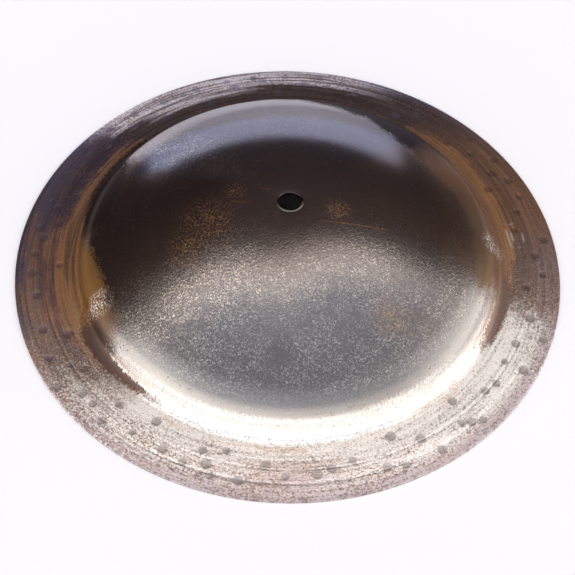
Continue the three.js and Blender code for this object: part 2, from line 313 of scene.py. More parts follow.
# How strong the turning streaks are on the flange, by turn in degrees
STREAK_BY_TURN = [
    (0, 0.15), (73, 0.15), (80, 0.3), (140, 0.4), (155, 0.75), (225, 0.75), (240, 0.35), (256, 0.4),
    (266, 0.65), (280, 0.6), (296, 0.35), (311, 0.15),
]

# Where the shoulder's zone begins, by turn in degrees, as a share of the rim's radius. From 134 to 269
# degrees its near-black colours are painted dark reflection
SHOULDER_ZONE_START_SHARES = [
    (0, 0.70), (68, 0.70), (80, 0.685), (100, 0.67), (118, 0.60), (135, 0.59), (147, 0.62),
    (163, 0.66), (180, 0.70), (197, 0.755), (210, 0.785), (232, 0.79), (240, 0.72), (248, 0.65),
    (268, 0.65), (273, 0.73), (280, 0.70), (287, 0.685), (300, 0.69), (310, 0.70),
]

# Where the flange's own finish begins, beyond the hollow of the foot, in the same way
FLANGE_START_SHARES = [
    (0, 0.797), (55, 0.785), (63, 0.812), (70, 0.82), (80, 0.82), (88, 0.80), (140, 0.80),
    (220, 0.80), (228, 0.82), (245, 0.81), (256, 0.797), (266, 0.777), (290, 0.777), (298, 0.82),
    (306, 0.82), (318, 0.803), (328, 0.785), (340, 0.797),
]

# Patches of the bell rubbed to copper colour, partly painted warm glints: share of a turn, share of
# the rim's radius, and reach as such a share
COPPER_AND_GLINT_PATCH_SHARES = [
    (0.790, 0.29, 0.15), (0.826, 0.38, 0.11), (0.71, 0.20, 0.06), (0.225, 0.17, 0.07),
    (0.111, 0.53, 0.08),
]

# Patches of the bell where the skin is dull and dark, in the same way
DULL_PATCH_SHARES = [(0.997, 0.55, 0.07), (0.134, 0.60, 0.09)]

# Patches of white specks on the foot that paint sparkle, in the same way
WHITE_SPARKLE_PATCH_SHARES = [(0.821, 0.72, 0.06), (0.255, 0.747, 0.055)]

# Scratches: from a share of a turn and of the rim's radius, to another
SCRATCH_SHARES = [
    (0.136, 0.123, 0.213, 0.362), (0.252, 0.152, 0.233, 0.224), (0.243, 0.176, 0.224, 0.199),
    (0.746, 0.215, 0.762, 0.137), (0.667, 0.121, 0.640, 0.078),
]

# White strokes rubbed into the flange on the right, from one place to another in the same way
STROKE_SHARES = [
    (0.261, 0.832, 0.281, 0.828), (0.266, 0.846, 0.278, 0.843), (0.283, 0.838, 0.284, 0.872),
    (0.262, 0.852, 0.263, 0.872), (0.266, 0.884, 0.276, 0.887),
]


# Settings of the add-on


def linear(hex_colour):
    """A colour written as sRGB hex, as the linear values and the opacity that Blender works in."""
    channels = [int(hex_colour[start : start + 2], 16) / 255 for start in (1, 3, 5)]
    values = [
        channel / 12.92 if channel <= 0.04045 else ((channel + 0.055) / 1.055) ** 2.4
        for channel in channels
    ]
    return (*values, 1)


def length(name, description, default):
    return FloatProperty(
        name=name, description=description, default=default, subtype="DISTANCE", unit="LENGTH"
    )


def angle(name, description, degrees):
    return FloatProperty(
        name=name, description=description, default=math.radians(degrees),
        subtype="ANGLE", unit="ROTATION",
    )


def colour(name, description, hex_colour):
    return FloatVectorProperty(
        name=name, description=description, default=linear(hex_colour),
        subtype="COLOR", size=4, min=0, max=1,
    )


class CymbalSizes(bpy.types.PropertyGroup):
    """Sizes of the casting."""

    rim_diameter: length("Rim", "Diameter over the rim", CAD_HIGH[0] - CAD_LOW[0])
    seat_height: length("Seat height", "Height of the felt seat round the hole", CAD_HIGH[2])
    crown_height: length(
        "Crown height", "Height that the dome would reach without its flat seat", 50 * MM
    )
    bell_foot_diameter: length("Bell foot", "Diameter of the bell where it meets the flange", 236 * MM)
    bell_thickness: length("Bell thickness", "Thickness of the metal in the bell", 2.2 * MM)
    rim_thickness: length("Rim thickness", "Thickness of the metal at the rim", 1.6 * MM)
    hole_diameter: length("Hole", "Diameter of the hole for the stand's rod", 12.7 * MM)
    hole_edge_round: length("Hole edge", "Radius of the worn edges of the hole", 0.8 * MM)
    seat_blend_diameter: length(
        "Seat blend", "Diameter at which the flat seat has run out into the dome", 44 * MM
    )
    shoulder_radius: length("Shoulder", "Radius of the bell's shoulder in section", 20 * MM)
    wall_tilt: angle("Wall tilt", "Tilt of the bell's wall from level", 70)
    wall_length: length("Wall length", "Length of the straight wall below the shoulder", 5 * MM)
    foot_fillet_radius: length("Foot fillet", "Radius of the hollow fillet at the bell's foot", 7 * MM)
    edge_band_width: length("Edge band width", "Width of the sloping band at the rim", 5 * MM)
    edge_band_fall: length("Edge band fall", "Fall of the sloping band at the rim", 0.8 * MM)
    lathed_zone_width: length(
        "Lathed zone width", "Width of the turned zone inside the edge band", 12.4 * MM
    )
    lathed_zone_fall: length("Lathed zone fall", "Fall of the turned zone", 1.2 * MM)
    inner_zone_fall: length(
        "Inner zone fall", "Fall of the flange between the bell and the turned zone", 0.9 * MM
    )
    rim_edge_round: length("Rim edge", "Radius of the rim's rounded edges", 0.5 * MM)
    rim_land_width: length("Rim land", "Width from the rim's edge over the land it rests on", 2.2 * MM)
    groove_width: length("Groove width", "Width of a turned groove", 1.4 * MM)
    groove_depth: length("Groove depth", "Depth of a turned groove", 0.18 * MM)
    mark_diameter: length("Hammer mark", "Mean diameter of a hammer mark", 5.8 * MM)
    mark_depth: length("Hammer mark depth", "Depth of a hammer mark", 0.13 * MM)
    wave_length: length("Wave length", "Spacing of the gentle waves left by hammering", 30 * MM)
    wave_height: length("Wave height", "Height of the gentle waves left by hammering", 0.22 * MM)
    turn_steps: IntProperty(
        name="Turn steps", description="Facets round a full turn", default=600, min=72
    )


class BronzeFinish(bpy.types.PropertyGroup):
    """Colours of the bronze and of the skins on it."""

    bare_bronze: colour("Bare bronze", "Bright bell bronze where the flange is rubbed clean", "#fffaf2")
    rubbed_bronze: colour("Rubbed bronze", "Greyed bronze near the rim in front", "#c6b9b8")
    pale_bronze: colour("Pale bronze", "Pale satin of the turned zone at the back", "#f4eef4")
    golden_bronze: colour("Golden bronze", "Tarnished golden bronze at the flange's sides", "#d6a46f")
    brown_gold: colour("Brown gold", "Brown tarnish over gold on the right of the flange", "#a17d63")
    dusky_gold: colour("Dusky gold", "Dull golden tarnish near the rim on the right", "#bb9274")
    violet_tarnish: colour(
        "Violet tarnish", "Dark violet tarnish under the gold at the back left", "#695e6f"
    )
    umber_tarnish: colour(
        "Umber tarnish", "Grey-brown tarnish where the gold gives way to clean metal", "#8d776b"
    )
    sandy_bronze: colour("Sandy bronze", "Clean bronze in front, a little greyed", "#e0d0c8")
    plum_tarnish: colour("Plum tarnish", "Plum tarnish under the gold on the left", "#9b7873")
    mauve_bronze: colour("Mauve bronze", "Dull purplish tarnish near the rim at the sides", "#aa928a")
    dull_bronze: colour("Dull bronze", "Dull bronze at the back of the flange", "#7c716e")
    violet_grey: colour("Violet grey", "Violet-grey tarnish near the rim at the back", "#85829f")
    slate_skin: colour("Slate skin", "Thin oxide skin on the front of the bell", "#75706e")
    dull_slate: colour("Dull slate", "The same skin on the shoulder in front", "#6a6563")
    haze_skin: colour("Haze skin", "The skin on the right with a golden haze in it", "#7b6758")
    umber_skin: colour("Umber skin", "Brown oxide skin on the right of the bell", "#7b6e66")
    crown_skin: colour("Crown skin", "Brown oxide skin round the hole", "#776e69")
    # The two pale crest colours are a painted highlight on the bell's back crest
    pale_crest_highlight: colour("Pale crest", "The crest's rubbed outer edge at the back", "#86818a")
    ash_crest_highlight: colour("Ash crest", "The crest's left end, rubbed to a pale ash", "#958d96")
    crest_skin: colour("Crest skin", "The same skin on the crest at the back", "#65616c")
    glassy_skin: colour("Glassy skin", "Smooth oxide skin at the back of the bell", "#757072")
    dark_skin: colour("Dark skin", "Thick dark oxide skin on the left of the bell", "#675952")
    golden_haze: colour("Golden haze", "Matt golden haze on the right shoulder", "#7e654e")
    warm_oxide: colour("Warm oxide", "Warm brown oxide on the right shoulder", "#7e593f")
    # These two colours are painted dark reflection: the darkness that the shoulder, the hole's edge and
    # the foot mirror at the back and sides
    violet_painted_dark_reflection: colour("Violet oxide", "Dark violet oxide on the shoulder at the back", "#3c343a")
    brown_painted_dark_reflection: colour("Dark oxide", "Nearly black oxide on the left shoulder", "#4a3f3c")
    old_gold: colour("Old gold", "Dark golden tarnish on the left shoulder and the foot", "#956d3e")
    foot_oxide: colour("Foot oxide", "Brown oxide left in the hollow of the bell's foot", "#64524a")
    sand_shade: colour("Sand shade", "Brown between the light specks of the turned metal", "#a58b7b")
    pit_oxide: colour("Pit oxide", "Oxide in the pits of the cast and turned metal", "#5e5350")
    mark_oxide: colour(
        "Mark oxide", "Oxide left in the hammer marks at the sides and the back", "#5e4d45"
    )
    # Partly dull metal and partly painted reflection of the dents
    dull_mark_and_reflection: colour("Mark bronze", "Dull metal in the hammer marks", "#a29a95")
    # Partly worn metal and partly painted glints
    worn_grain_and_glints: colour("Worn grain", "Bright metal on the bell's worn high grains", "#cec3b7")
    # Copper-coloured metal in scratches and patches. In the patches it is partly a painted glint
    copper_fleck_and_glint: colour("Copper fleck", "Metal that shines copper through the skin", "#b99166")


class StudioSettings(bpy.types.PropertyGroup):
    """The floor, the camera and the light around the cymbal."""

    floor_reach: length("Floor reach", "Distance from the middle of the floor to its edge", 16000 * MM)
    floor_colour: colour("Floor colour", "Colour of the pale floor", "#f4f4f6")
    camera_distance: length(
        "Camera distance", "Distance from the camera to the middle of the rim", 677.3 * MM
    )
    camera_elevation: angle("Camera elevation", "Height of the camera above the floor's plane", 51.53)
    camera_tilt: angle("Camera tilt", "How far the camera is tipped up from its aim", -1.40)
    camera_roll: angle("Camera roll", "How far the camera leans to one side", 1.67)
    camera_target_height: length(
        "Target height", "Height of the point that the camera is aimed from", 0.8 * MM
    )
    light_level: FloatProperty(
        name="Light level", description="Strength of the studio's light", default=1.0, min=0
    )


# Nodes and places


def add(tree, kind, links=None, stops=None, **settings):
    """Adds a shader node with its settings, its sockets' values or links, and a ramp's stops. A pair
    sets both ends of a range."""
    node = tree.nodes.new("ShaderNode" + kind)
    for name, value in settings.items():
        setattr(node, name, value)
    for socket, value in (links or {}).items():
        if isinstance(value, bpy.types.Node):
            value = next(output for output in value.outputs if output.enabled)
        if isinstance(value, bpy.types.NodeSocket):
            tree.links.new(value, node.inputs[socket])
        elif isinstance(value, tuple) and len(value) == 2:
            for end, limit in zip((" Min", " Max"), value):
                node.inputs[socket + end].default_value = limit
        else:
            node.inputs[socket].default_value = value
    for index, (position, value) in enumerate(stops or []):
        elements = node.color_ramp.elements
        element = elements[index] if index < len(elements) else elements.new(position)
        element.position = position
        element.color = value if isinstance(value, tuple) else (value, value, value, 1)
    return node


def turn_stops(table):
    """Ramp stops from a table by turn in degrees, closed by its first value at a full turn."""
    return [(degrees / 360, value) for degrees, value in table] + [(1, table[0][1])]


def scaled(light):
    """A light with its opacity, as a share of the brightest."""
    return (*(channel / BRIGHTEST for channel in light), 1)


def sky_stops(table):
    """Ramp stops from a table of elevations and light."""
    span = HIGHEST_LIGHT - LOWEST_LIGHT
    return [((elevation - LOWEST_LIGHT) / span, scaled(light)) for elevation, light in table]


def around(turn_share, radius):
    """A place level with the rim's underside, by its share of a turn and its radius."""
    turn = turn_share * FULL_TURN
    return Vector((radius * math.sin(turn), -radius * math.cos(turn), 0))


# The section of the casting, in metres, as radius and height


def section_measures(sizes):
    """Measures that follow from the driving sizes."""
    shape = SimpleNamespace()
    shape.rim_radius = sizes.rim_diameter / 2
    shape.foot_radius = sizes.bell_foot_diameter / 2
    shape.hole_radius = sizes.hole_diameter / 2
    shape.band_radius = shape.rim_radius - sizes.edge_band_width
    shape.lathed_radius = shape.band_radius - sizes.lathed_zone_width
    shape.band_height = sizes.rim_thickness + sizes.edge_band_fall
    shape.lathed_height = shape.band_height + sizes.lathed_zone_fall
    shape.foot_height = shape.lathed_height + sizes.inner_zone_fall
    shape.inner_tilt = math.atan2(sizes.inner_zone_fall, shape.lathed_radius - shape.foot_radius)
    tilt, shoulder = sizes.wall_tilt, sizes.shoulder_radius
    shape.shoulder_centre = (
        shape.foot_radius - sizes.wall_length * math.cos(tilt) - shoulder * math.sin(tilt),
        shape.foot_height + sizes.wall_length * math.sin(tilt) - shoulder * math.cos(tilt),
    )
    drop = sizes.crown_height - shape.shoulder_centre[1]
    shape.dome_radius = (shape.shoulder_centre[0] ** 2 + drop**2 - shoulder**2) / (2 * (drop - shoulder))
    shape.dome_centre = (0, sizes.crown_height - shape.dome_radius)
    rise = shape.shoulder_centre[1] - shape.dome_centre[1]
    shape.meeting_tilt = math.atan2(shape.shoulder_centre[0], rise)
    reach = sizes.foot_fillet_radius * math.tan((tilt - shape.inner_tilt) / 2)
    shape.fillet_centre = (
        shape.foot_radius - reach * math.cos(tilt) + sizes.foot_fillet_radius * math.sin(tilt),
        shape.foot_height + reach * math.sin(tilt) + sizes.foot_fillet_radius * math.cos(tilt),
    )
    return shape


def spaced(start, end, gap):
    """Even steps from start to end, no further apart than gap."""
    count = max(1, math.ceil(abs(end - start) / gap))
    return [start + (end - start) * index / count for index in range(count + 1)]


def smooth_step(share):
    share = min(max(share, 0), 1)
    return share * share * (3 - 2 * share)


def arc(centre, radius, start_tilt, end_tilt, gap):
    """Points of an arc as radius, height and tilt. A negative radius bends it as a fillet bends."""
    tilts = spaced(start_tilt, end_tilt, gap / abs(radius))
    out, up = centre
    return [(out + radius * math.sin(tilt), up + radius * math.cos(tilt), tilt) for tilt in tilts]


def crown(sizes, shape, gap):
    """The flat felt seat round the hole, blended into the dome without a crease."""
    inner = shape.hole_radius + sizes.hole_edge_round
    outer = sizes.seat_blend_diameter / 2
    tilt = math.asin(outer / shape.dome_radius)
    outer_height = shape.dome_centre[1] + shape.dome_radius * math.cos(tilt)
    points = []
    for radius in spaced(inner, outer, gap):
        share = (radius - inner) / (outer - inner)
        height = sizes.seat_height + (outer_height - sizes.seat_height) * smooth_step(share)
        height -= math.tan(tilt) * (outer - inner) * (share**3 - share**2)
        points.append((radius, height, tilt * share))
    return points, tilt


def flange_height(sizes, shape, radius):
    """Height of the flange's upper side before its grooves are cut."""
    if radius >= shape.band_radius:
        share = (shape.rim_radius - radius) / sizes.edge_band_width
        return sizes.rim_thickness + sizes.edge_band_fall * share
    if radius >= shape.lathed_radius:
        share = (shape.band_radius - radius) / sizes.lathed_zone_width
        return shape.band_height + sizes.lathed_zone_fall * share
    return shape.lathed_height + (shape.lathed_radius - radius) * math.tan(shape.inner_tilt)


def groove_depth_at(sizes, shape, radius):
    depth = 0
    for share in TURNED_GROOVE_SHARES:
        centre = shape.foot_radius + share * (shape.rim_radius - shape.foot_radius)
        away = abs(radius - centre) / (sizes.groove_width / 2)
        depth += sizes.groove_depth * (1 - smooth_step(away))
    return depth


def upper_side(sizes, shape, grooved, bell_gap, bend_gap, flange_gap):
    """The upper side, from the hole's edge out to the rim's edge."""
    points, dome_start = crown(sizes, shape, bell_gap)
    points += arc(shape.dome_centre, shape.dome_radius, dome_start, shape.meeting_tilt, bell_gap)[1:]
    shoulder, fillet = sizes.shoulder_radius, sizes.foot_fillet_radius
    points += arc(shape.shoulder_centre, shoulder, shape.meeting_tilt, sizes.wall_tilt, bend_gap)[1:]
    points += arc(shape.fillet_centre, -fillet, sizes.wall_tilt, shape.inner_tilt, bend_gap)
    for radius in spaced(points[-1][0], shape.rim_radius - sizes.rim_edge_round, flange_gap)[1:-1]:
        height = flange_height(sizes, shape, radius)
        if grooved:
            height -= groove_depth_at(sizes, shape, radius)
        points.append((radius, height, shape.inner_tilt))
    return points


def under_side(sizes, shape, upper):
    """The underside, one metal thickness below the upper side and square to it."""
    points = []
    for radius, height, tilt in upper:
        share = (radius - shape.foot_radius) / (shape.rim_radius - shape.foot_radius)
        share = min(max(share, 0), 1)
        thickness = sizes.bell_thickness + share * (sizes.rim_thickness - sizes.bell_thickness)
        points.append((radius - thickness * math.sin(tilt), height - thickness * math.cos(tilt)))
    return points


def casting_section(sizes, shape):
    """The closed section: over the top, round the rim, back underneath and up the hole."""
    upper = upper_side(sizes, shape, True, *TOP_GAPS)
    plain = upper_side(sizes, shape, False, *UNDER_GAPS)
    clear = shape.rim_radius - 1.5 * sizes.rim_land_width
    lower = [point for point in under_side(sizes, shape, plain) if point[0] < clear]
    rim, edge = shape.rim_radius - sizes.rim_edge_round, sizes.rim_edge_round
    quarter = [math.radians(degrees) for degrees in (0, 30, 60, 90)]
    top_centre = sizes.rim_thickness - edge
    rim_top = [(rim + edge * math.sin(bend), top_centre + edge * math.cos(bend)) for bend in quarter]
    rim_foot = [(rim + edge * math.cos(bend), edge - edge * math.sin(bend)) for bend in quarter]
    land = [(shape.rim_radius - sizes.rim_land_width, 0)]
    hole, worn = shape.hole_radius + sizes.hole_edge_round, sizes.hole_edge_round
    top, foot = sizes.seat_height, sizes.seat_height - sizes.bell_thickness
    hole_foot = [(hole - worn * math.sin(bend), foot + worn - worn * math.cos(bend)) for bend in quarter]
    hole_top = [(hole - worn * math.cos(bend), top - worn + worn * math.sin(bend)) for bend in quarter]
    points = [(radius, height) for radius, height, _ in upper]
    return points + rim_top + rim_foot + land + lower[::-1][:-1] + hole_foot + hole_top


# The mesh of the casting


def beaten_weight(sizes, shape, radius):
    """How far hammering waves the metal: not round the hole, and not at the rim."""
    at_hole = smooth_step((radius - 2 * shape.hole_radius) / (3 * shape.hole_radius))
    at_rim = smooth_step((shape.rim_radius - radius) / sizes.edge_band_width - 0.5)
    return at_hole * at_rim


def only_selected(piece):
    bpy.ops.object.select_all(action="DESELECT")
    piece.select_set(True)
    bpy.context.view_layer.objects.active = piece


def apply_modifier(piece, kind, **settings):
    modifier = piece.modifiers.new(kind.lower(), kind)
    for name, value in settings.items():
        setattr(modifier, name, value)
    only_selected(piece)
    bpy.ops.object.modifier_apply(modifier=modifier.name)


def turn_casting(sizes, section):
    """Draws the section as a chain of edges, turns it about the axis and closes the shell."""
    first = Vector((section[0][0], 0, section[0][1]))
    bpy.ops.object.select_all(action="DESELECT")
    bpy.ops.mesh.primitive_plane_add(size=MM, location=(0, 0, 0))
    piece = bpy.context.active_object
    piece.name = "bell_cymbal_bronze"
    bpy.ops.object.mode_set(mode="EDIT")
    bpy.ops.mesh.merge(type="CENTER")
    bpy.ops.transform.translate(value=first)
    for (radius, height), (next_radius, next_height) in zip(section, section[1:] + section[:1]):
        step = (next_radius - radius, 0, next_height - height)
        bpy.ops.mesh.extrude_region_move(TRANSFORM_OT_translate={"value": step})
    bpy.ops.mesh.select_all(action="SELECT")
    bpy.ops.mesh.remove_doubles(threshold=MERGE_DISTANCE)
    bpy.ops.object.mode_set(mode="OBJECT")
    steps = sizes.turn_steps
    apply_modifier(piece, "SCREW", angle=FULL_TURN, steps=steps, render_steps=steps)
    bpy.ops.object.mode_set(mode="EDIT")
    bpy.ops.mesh.select_all(action="SELECT")
    bpy.ops.mesh.remove_doubles(threshold=MERGE_DISTANCE)
    bpy.ops.mesh.normals_make_consistent(inside=False)
    bpy.ops.object.mode_set(mode="OBJECT")
    return piece


def beat_waves(piece, sizes, shape):
    """Gentle waves over bell and flange, the same on both sides of the metal."""
    group = piece.vertex_groups.new(name="beaten")
    rows = {}
    for vertex in piece.data.vertices:
        radius = round(math.hypot(vertex.co.x, vertex.co.y) / MM, 2) * MM
        rows.setdefault(radius, []).append(vertex.index)
    for radius, members in rows.items():
        group.add(members, beaten_weight(sizes, shape, radius), "REPLACE")
    waves = bpy.data.textures.new("hand_beaten_waves", "CLOUDS")
    waves.noise_scale = sizes.wave_length
    waves.noise_depth = 1
    apply_modifier(
        piece, "DISPLACE", texture=waves, texture_coords="LOCAL", direction="Z",
        strength=sizes.wave_height, mid_level=0.5, vertex_group=group.name,
    )
    piece.vertex_groups.clear()


def mark_places(sizes, shape):
    """Centre and reach of each hammer mark. No two neighbours are the same size."""
    places = []
    shares = OUTER_MARK_SHARES + MIDDLE_MARK_SHARES + INNER_MARK_SHARES
    for index, (turn_share, flange_share) in enumerate(shares):
        spread = MARK_SMALLEST + MARK_VARIES * ((index * MARK_STEP) % 1)
        radius = shape.foot_radius + flange_share * (shape.rim_radius - shape.foot_radius)
        centre = around(turn_share, radius)
        centre.z = flange_height(sizes, shape, radius)
        places.append((centre, sizes.mark_diameter / 2 * spread))
    return places


def refine_at(piece, marks):
    """Cuts the faces round each mark finer, so that its outline comes out round."""
    mesh = piece.data
    tree = KDTree(len(mesh.polygons))
    for face in mesh.polygons:
        tree.insert(face.center, face.index)
    tree.balance()
    near = set()
    for centre, reach in marks:
        found = [index for _, index, _ in tree.find_range(centre, reach)]
        near.update(index for index in found if mesh.polygons[index].normal.z > 0)
    only_selected(piece)
    bpy.ops.object.mode_set(mode="EDIT")
    bpy.ops.mesh.select_mode(type="FACE")
    bpy.ops.mesh.select_all(action="DESELECT")
    bpy.ops.object.mode_set(mode="OBJECT")
    mesh.polygons.foreach_set("select", [face.index in near for face in mesh.polygons])
    bpy.ops.object.mode_set(mode="EDIT")
    bpy.ops.mesh.subdivide(number_cuts=1)
    bpy.ops.mesh.select_mode(type="VERT")
    bpy.ops.mesh.select_all(action="DESELECT")
    bpy.ops.object.mode_set(mode="OBJECT")


def strike_marks(piece, sizes, shape):
    """Hammer marks: shallow round dents in the upper side of the flange, each of its own size."""
    marks = mark_places(sizes, shape)
    refine_at(piece, marks)
    mesh = piece.data
    tree = KDTree(len(mesh.vertices))
    for vertex in mesh.vertices:
        tree.insert(vertex.co, vertex.index)
    tree.balance()
    weights = {}
    for centre, reach in marks:
        for _, vertex_index, distance in tree.find_range(centre, reach):
            if mesh.vertices[vertex_index].normal.z > 0:
                weight = 1 - smooth_step((distance / reach - MARK_FLAT) / (1 - MARK_FLAT))
                weights[vertex_index] = max(weight, weights.get(vertex_index, 0))
    group = piece.vertex_groups.new(name="struck")
    for vertex_index, weight in weights.items():
        group.add([vertex_index], weight, "REPLACE")
    depth = mesh.attributes.new(MARK_ATTRIBUTE, "FLOAT", "POINT")
    depth.data.foreach_set("value", [weights.get(index, 0) for index in range(len(mesh.vertices))])
    apply_modifier(
        piece, "DISPLACE", direction="NORMAL", strength=-sizes.mark_depth, mid_level=0,
        vertex_group=group.name,
    )
    piece.vertex_groups.clear()


# The metal


def metal_places(tree):
    """Places on the metal: in space, as radius, as direction from the axis and as share of a turn."""
    at = SimpleNamespace()
    at.place = add(tree, "TexCoord").outputs["Object"]
    at.axes = add(tree, "SeparateXYZ", {"Vector": at.place}).outputs
    at.flat = add(tree, "VectorMath", {0: at.place, 1: (1, 1, 0)}, operation="MULTIPLY")
    at.radius = add(tree, "VectorMath", {0: at.flat}, operation="LENGTH")
    at.outward = add(tree, "VectorMath", {0: at.flat}, operation="NORMALIZE")
    behind = add(tree, "Math", {0: at.axes["Y"], 1: -1}, operation="MULTIPLY")
    swing = add(tree, "Math", {0: at.axes["X"], 1: behind}, operation="ARCTAN2")

    # Borders that run outwards are ragged, and sandy on a finer scale
    uneven_turn = 0
    for size, detail, swerve in BORDER_SWERVES:
        noise = add(tree, "TexNoise", {"Vector": at.place, "Scale": 1 / size, "Detail": detail})
        swerved = add(tree, "MapRange", {"Value": noise, "To": (-swerve, swerve)})
        uneven_turn = add(tree, "Math", {0: uneven_turn, 1: swerved}, operation="ADD")
    turn = add(tree, "Math", {0: swing, 1: 1 / FULL_TURN, 2: uneven_turn}, operation="MULTIPLY_ADD")
    at.turn = add(tree, "Math", {0: turn}, operation="FRACT")
    return at


def drawn_out_noise(tree, at, shape, size, **settings):
    """Noise whose grains are drawn out along the turn. Their size is a length and a width."""
    along, across = size
    stretch = shape.rim_radius / along
    around_axis = add(tree, "VectorMath", {0: at.outward, "Scale": stretch}, operation="SCALE")
    step = add(tree, "Math", {0: at.radius, 1: across}, operation="DIVIDE")
    lift = add(tree, "CombineXYZ", {"Z": step})
    where = add(tree, "VectorMath", {0: around_axis, 1: lift}, operation="ADD")
    return add(tree, "TexNoise", {"Vector": where, "Scale": 1, **settings})


def metal_pattern(tree, at, shape):
    """The patterns that the zones and the wear of the metal share."""
    pattern = SimpleNamespace()
    grain_settings = {"Scale": 1 / GRAIN_SIZE, "Detail": 2, "Distortion": 0.6}
    pattern.grain = add(tree, "TexNoise", {"Vector": at.place, **grain_settings})
    pattern.pits = drawn_out_noise(tree, at, shape, PIT_SIZE, Detail=3, Roughness=0.7)
    pattern.rings = drawn_out_noise(tree, at, shape, RING_SIZE, Detail=2, Roughness=0.55)
    pattern.patches = drawn_out_noise(tree, at, shape, PATCH_SIZE, Detail=5, Roughness=0.65)
    pattern.sand = drawn_out_noise(tree, at, shape, SAND_SIZE, Detail=2, Roughness=0.6)

    # Fine bright strokes: the noise's middle level drawn as thin broken lines
    wrinkle_settings = {"Scale": 1 / WRINKLE_SIZE, "Detail": 1, "Distortion": 1.6}
    wrinkles = add(tree, "TexNoise", {"Vector": at.place, **wrinkle_settings})
    off_line = add(tree, "Math", {0: wrinkles, 1: 0.5}, operation="SUBTRACT")
    off_line = add(tree, "Math", {0: off_line}, operation="ABSOLUTE")
    line = add(tree, "MapRange", {"Value": off_line, "From": (0.06, 0.015)})
    broken = add(tree, "MapRange", {"Value": pattern.grain, "From": (0.42, 0.56)})
    pattern.high = add(tree, "Math", {0: line, 1: broken}, operation="MULTIPLY")

    # Fraying moves a border in and out
    pattern.uneven = add(tree, "MapRange", {"Value": pattern.pits, "From": (0.3, 0.7), "To": (-1, 1)})
    fray = {0: pattern.uneven, 1: BORDER_FRAY, 2: at.radius}
    pattern.frayed = add(tree, "Math", fray, operation="MULTIPLY_ADD")
    return pattern


def amounts_by_turn(tree, at):
    """Every amount that varies by turn alone, as one ramp each."""
    tables = {
        "worn": WORN_AND_GLINTS_BY_TURN, "oxide_start": SHOULDER_ZONE_START_SHARES, "rubbed": RUBBED_BY_TURN,
        "flange_start": FLANGE_START_SHARES, "golden": GOLDEN_BY_TURN, "streak": STREAK_BY_TURN,
        "sand": SAND_THINNED_FOR_SHEEN_BY_TURN, "specks": SPECKS_BY_TURN, "marked": MARKED_AND_REFLECTION_BY_TURN,
    }
    ramps = {
        name: add(tree, "ValToRGB", {"Fac": at.turn}, stops=turn_stops(table))
        for name, table in tables.items()
    }
    return SimpleNamespace(**ramps)


def zone(tree, at, finish, table, under=None, share=None):
    """Lays one zone's colour and roughness by turn over what is there, by its share."""
    colours = [(degrees, tuple(getattr(finish, name))) for degrees, name, _ in table]
    roughs = [(degrees, rough) for degrees, _, rough in table]
    colour = add(tree, "ValToRGB", {"Fac": at.turn}, stops=turn_stops(colours))
    rough = add(tree, "ValToRGB", {"Fac": at.turn}, stops=turn_stops(roughs))
    if under is None:
        return colour, rough
    colour = layered(tree, under[0], [(share, colour)])
    rough = add(tree, "Mix", {SHARE: share, UNDER_VALUE: under[1], OVER_VALUE: rough})
    return colour, rough


def layered(tree, colour, layers):
    """Lays tints over a colour one after another, each by its share."""
    for share, tint in layers:
        sockets = {SHARE: share, UNDER_COLOUR: colour, OVER_COLOUR: tint}
        colour = add(tree, "Mix", sockets, data_type="RGBA")
    return colour


def soft_patches(tree, at, shape, table):
    """Share of the soft round patches of one table."""
    total = 0
    for turn_share, radius_share, reach_share in table:
        centre = around(turn_share, radius_share * shape.rim_radius)
        away = add(tree, "VectorMath", {0: at.flat, 1: centre}, operation="DISTANCE")
        reach = reach_share * shape.rim_radius
        near = add(tree, "MapRange", {"Value": away, "From": (reach, 0), "To Max": PATCH_STRENGTH})
        total = add(tree, "Math", {0: near, 1: total}, operation="MAXIMUM")
    return total


def scratch_lines(tree, at, shape, table, width):
    """Share of the straight scratches of one table."""
    total = 0
    for start_turn, start_radius, end_turn, end_radius in table:
        start = around(start_turn, start_radius * shape.rim_radius)
        end = around(end_turn, end_radius * shape.rim_radius)
        middle, run = (start + end) / 2, end - start
        line, side = run.normalized(), Vector((-run.y, run.x, 0)).normalized()
        from_middle = add(tree, "VectorMath", {0: at.flat, 1: middle}, operation="SUBTRACT")
        half = run.length / 2
        share = 1
        for direction, reach in ((line, (half, half - SCRATCH_END)), (side, (width, width / 3))):
            away = add(tree, "VectorMath", {0: from_middle, 1: direction}, operation="DOT_PRODUCT")
            away = add(tree, "Math", {0: away}, operation="ABSOLUTE")
            inside = add(tree, "MapRange", {"Value": away, "From": reach})
            share = add(tree, "Math", {0: share, 1: inside}, operation="MULTIPLY")
        total = add(tree, "Math", {0: share, 1: total}, operation="MAXIMUM")
    return total


